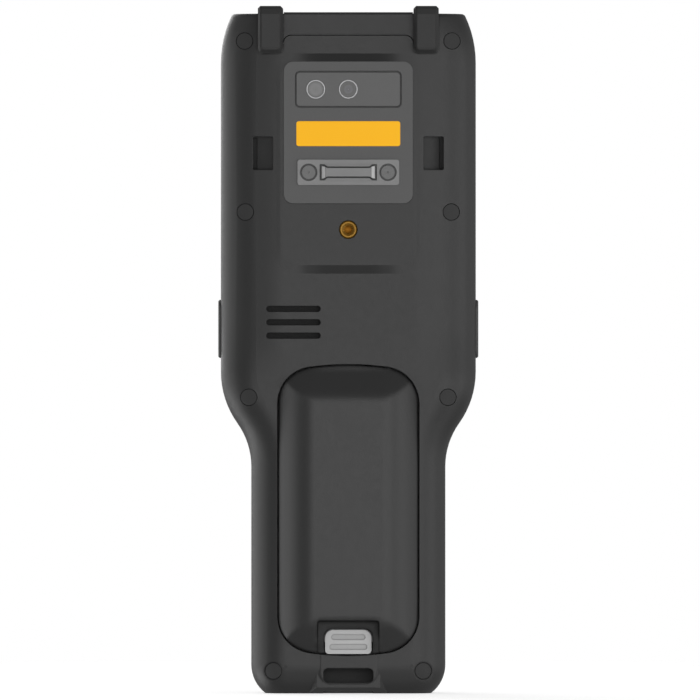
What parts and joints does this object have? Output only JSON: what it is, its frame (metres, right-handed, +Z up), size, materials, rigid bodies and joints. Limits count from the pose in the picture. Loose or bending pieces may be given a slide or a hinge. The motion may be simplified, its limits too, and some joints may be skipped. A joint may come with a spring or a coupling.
{
  "type": "portable barcode data terminal",
  "caption": "Handheld barcode terminal with a waisted grip, tilt-out battery pack with a sliding latch, rear camera plate, strap bracket and front keypad.",
  "frame": {"origin": "centre of the part's bounding box in X and Y, at the flat bottom end", "axes": "+Z up the terminal's length, +X to the right as seen from behind, +Y out of the display side"},
  "size_m": [0.0768, 0.032, 0.203],
  "materials": {
    "rear_housing": "fine moulded grain, charcoal",
    "front_housing": "fine moulded grain, charcoal",
    "housing_seal": "black seal",
    "bumper_left": "matt rubber",
    "bumper_right": "matt rubber",
    "scan_bezel": "fine moulded grain, charcoal",
    "scan_window": "dark red filter glass",
    "scan_engine": "black imager block",
    "rear_plate": "smoother mid grey",
    "camera_window": "satin grey cover",
    "lens_rings": "turned rings",
    "camera_lens": "dark lens",
    "flash_lens": "milky flash lens",
    "camera_module": "black carrier",
    "blank_label": "plain amber sticker",
    "strap_bracket": "grey coated steel",
    "bracket_screws": "grey screws",
    "grip_insert": "threaded brass",
    "screw_plugs": "charcoal rubber plugs",
    "housing_screws": "steel screws",
    "speaker_mesh": "black mesh",
    "speaker": "black capsule",
    "battery_contacts": "gold plated",
    "display_glass": "black bordered cover glass",
    "display_panel": "screen off",
    "inner_frame": "cast frame",
    "main_board": "circuit board",
    "keypad_board": "circuit board",
    "keypad_mat": "grey silicone",
    "side_switches": "black switches",
    "earpiece_mesh": "black mesh",
    "usb_socket": "steel shell",
    "battery_case": "fine moulded grain, charcoal",
    "battery_base": "black",
    "battery_cells": "two flat cells",
    "latch_spring": "flat spring",
    "battery_latch": "light grey",
    "side_key_left": "black key",
    "side_key_right": "black key",
    "key_back": "moulded key",
    "key_home": "moulded key",
    "key_menu": "moulded key",
    "key_left": "moulded key",
    "key_scan": "amber moulded key",
    "key_right": "moulded key",
    "key_1": "moulded key",
    "key_2": "moulded key",
    "key_3": "moulded key",
    "key_4": "moulded key",
    "key_5": "moulded key",
    "key_6": "moulded key",
    "key_7": "moulded key",
    "key_8": "moulded key",
    "key_9": "moulded key",
    "key_clear": "moulded key",
    "key_0": "moulded key",
    "key_enter": "moulded key",
    "key_shift": "moulded key",
    "key_power": "moulded key",
    "key_tab": "moulded key"
  },
  "bodies": {
    "housing": {"rear_housing": "rear_housing", "front_housing": "front_housing", "housing_seal": "housing_seal", "bumper_left": "bumper_left", "bumper_right": "bumper_right", "scan_bezel": "scan_bezel", "scan_window": "scan_window", "scan_engine": "scan_engine", "rear_plate": "rear_plate", "camera_window": "camera_window", "lens_rings": "lens_rings", "camera_lens": "camera_lens", "flash_lens": "flash_lens", "camera_module": "camera_module", "blank_label": "blank_label", "strap_bracket": "strap_bracket", "bracket_screws": "bracket_screws", "grip_insert": "grip_insert", "screw_plugs": "screw_plugs", "housing_screws": "housing_screws", "speaker_mesh": "speaker_mesh", "speaker": "speaker", "battery_contacts": "battery_contacts", "display_glass": "display_glass", "display_panel": "display_panel", "inner_frame": "inner_frame", "main_board": "main_board", "keypad_board": "keypad_board", "keypad_mat": "keypad_mat", "side_switches": "side_switches", "earpiece_mesh": "earpiece_mesh", "usb_socket": "usb_socket"},
    "battery_pack": {"battery_case": "battery_case", "battery_base": "battery_base", "battery_cells": "battery_cells", "latch_spring": "latch_spring"},
    "battery_latch_body": {"battery_latch": "battery_latch"},
    "side_key_left_body": {"side_key_left": "side_key_left"},
    "side_key_right_body": {"side_key_right": "side_key_right"},
    "key_back_body": {"key_back": "key_back"},
    "key_home_body": {"key_home": "key_home"},
    "key_menu_body": {"key_menu": "key_menu"},
    "key_left_body": {"key_left": "key_left"},
    "key_scan_body": {"key_scan": "key_scan"},
    "key_right_body": {"key_right": "key_right"},
    "key_1_body": {"key_1": "key_1"},
    "key_2_body": {"key_2": "key_2"},
    "key_3_body": {"key_3": "key_3"},
    "key_4_body": {"key_4": "key_4"},
    "key_5_body": {"key_5": "key_5"},
    "key_6_body": {"key_6": "key_6"},
    "key_7_body": {"key_7": "key_7"},
    "key_8_body": {"key_8": "key_8"},
    "key_9_body": {"key_9": "key_9"},
    "key_clear_body": {"key_clear": "key_clear"},
    "key_0_body": {"key_0": "key_0"},
    "key_enter_body": {"key_enter": "key_enter"},
    "key_shift_body": {"key_shift": "key_shift"},
    "key_power_body": {"key_power": "key_power"},
    "key_tab_body": {"key_tab": "key_tab"}
  },
  "joints": [
    {"name": "battery_tilt", "type": "hinge", "parent": "housing", "child": "battery_pack", "pos_m": [0, -0.0098, 0.0959], "axis": [-1, 0, 0], "range_deg": [0, 25]},
    {"name": "latch_slide", "type": "slide", "parent": "battery_pack", "child": "battery_latch_body", "axis": [0, 0, 1], "range_m": [0, 0.002], "stiffness_N_per_m": 400, "deforming": ["latch_spring"]},
    {"name": "side_press_left", "type": "slide", "parent": "housing", "child": "side_key_left_body", "axis": [1, 0, 0], "range_m": [0, 0.0006], "stiffness_N_per_m": 800},
    {"name": "side_press_right", "type": "slide", "parent": "housing", "child": "side_key_right_body", "axis": [-1, 0, 0], "range_m": [0, 0.0006], "stiffness_N_per_m": 800},
    {"name": "press_back", "type": "slide", "parent": "housing", "child": "key_back_body", "axis": [0, -1, 0], "range_m": [0, 0.0007], "stiffness_N_per_m": 500},
    {"name": "press_home", "type": "slide", "parent": "housing", "child": "key_home_body", "axis": [0, -1, 0], "range_m": [0, 0.0007], "stiffness_N_per_m": 500},
    {"name": "press_menu", "type": "slide", "parent": "housing", "child": "key_menu_body", "axis": [0, -1, 0], "range_m": [0, 0.0007], "stiffness_N_per_m": 500},
    {"name": "press_left", "type": "slide", "parent": "housing", "child": "key_left_body", "axis": [0, -1, 0], "range_m": [0, 0.0007], "stiffness_N_per_m": 500},
    {"name": "press_scan", "type": "slide", "parent": "housing", "child": "key_scan_body", "axis": [0, -1, 0], "range_m": [0, 0.0007], "stiffness_N_per_m": 500},
    {"name": "press_right", "type": "slide", "parent": "housing", "child": "key_right_body", "axis": [0, -1, 0], "range_m": [0, 0.0007], "stiffness_N_per_m": 500},
    {"name": "press_1", "type": "slide", "parent": "housing", "child": "key_1_body", "axis": [0, -1, 0], "range_m": [0, 0.0007], "stiffness_N_per_m": 500},
    {"name": "press_2", "type": "slide", "parent": "housing", "child": "key_2_body", "axis": [0, -1, 0], "range_m": [0, 0.0007], "stiffness_N_per_m": 500},
    {"name": "press_3", "type": "slide", "parent": "housing", "child": "key_3_body", "axis": [0, -1, 0], "range_m": [0, 0.0007], "stiffness_N_per_m": 500},
    {"name": "press_4", "type": "slide", "parent": "housing", "child": "key_4_body", "axis": [0, -1, 0], "range_m": [0, 0.0007], "stiffness_N_per_m": 500},
    {"name": "press_5", "type": "slide", "parent": "housing", "child": "key_5_body", "axis": [0, -1, 0], "range_m": [0, 0.0007], "stiffness_N_per_m": 500},
    {"name": "press_6", "type": "slide", "parent": "housing", "child": "key_6_body", "axis": [0, -1, 0], "range_m": [0, 0.0007], "stiffness_N_per_m": 500},
    {"name": "press_7", "type": "slide", "parent": "housing", "child": "key_7_body", "axis": [0, -1, 0], "range_m": [0, 0.0007], "stiffness_N_per_m": 500},
    {"name": "press_8", "type": "slide", "parent": "housing", "child": "key_8_body", "axis": [0, -1, 0], "range_m": [0, 0.0007], "stiffness_N_per_m": 500},
    {"name": "press_9", "type": "slide", "parent": "housing", "child": "key_9_body", "axis": [0, -1, 0], "range_m": [0, 0.0007], "stiffness_N_per_m": 500},
    {"name": "press_clear", "type": "slide", "parent": "housing", "child": "key_clear_body", "axis": [0, -1, 0], "range_m": [0, 0.0007], "stiffness_N_per_m": 500},
    {"name": "press_0", "type": "slide", "parent": "housing", "child": "key_0_body", "axis": [0, -1, 0], "range_m": [0, 0.0007], "stiffness_N_per_m": 500},
    {"name": "press_enter", "type": "slide", "parent": "housing", "child": "key_enter_body", "axis": [0, -1, 0], "range_m": [0, 0.0007], "stiffness_N_per_m": 500},
    {"name": "press_shift", "type": "slide", "parent": "housing", "child": "key_shift_body", "axis": [0, -1, 0], "range_m": [0, 0.0007], "stiffness_N_per_m": 500},
    {"name": "press_power", "type": "slide", "parent": "housing", "child": "key_power_body", "axis": [0, -1, 0], "range_m": [0, 0.0007], "stiffness_N_per_m": 500},
    {"name": "press_tab", "type": "slide", "parent": "housing", "child": "key_tab_body", "axis": [0, -1, 0], "range_m": [0, 0.0007], "stiffness_N_per_m": 500}
  ]
}
